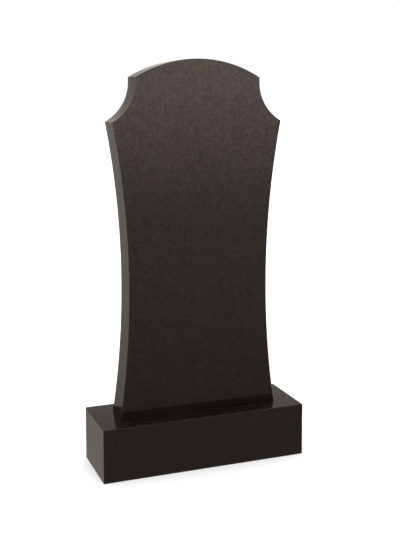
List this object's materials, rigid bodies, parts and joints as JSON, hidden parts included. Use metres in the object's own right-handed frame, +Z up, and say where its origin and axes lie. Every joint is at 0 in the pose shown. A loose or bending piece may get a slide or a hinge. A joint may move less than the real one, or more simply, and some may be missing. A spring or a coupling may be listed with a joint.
{
  "type": "headstone",
  "caption": "Upright polished granite headstone with hollow sides, pointed shoulders, scooped corners and an arched crown, on a plain rectangular plinth.",
  "frame": {"origin": "on the ground, at the middle of the plinth's underside", "axes": "+Z up, +X along the headstone's width, and -Y out of the front, the stele's wide face that would carry an inscription"},
  "size_m": [0.6, 0.2, 1.1503],
  "materials": {
    "plinth_granite": "polished",
    "stele_granite": "polished"
  },
  "bodies": {
    "root": {"plinth": "plinth_granite", "stele": "stele_granite"}
  },
  "joints": []
}
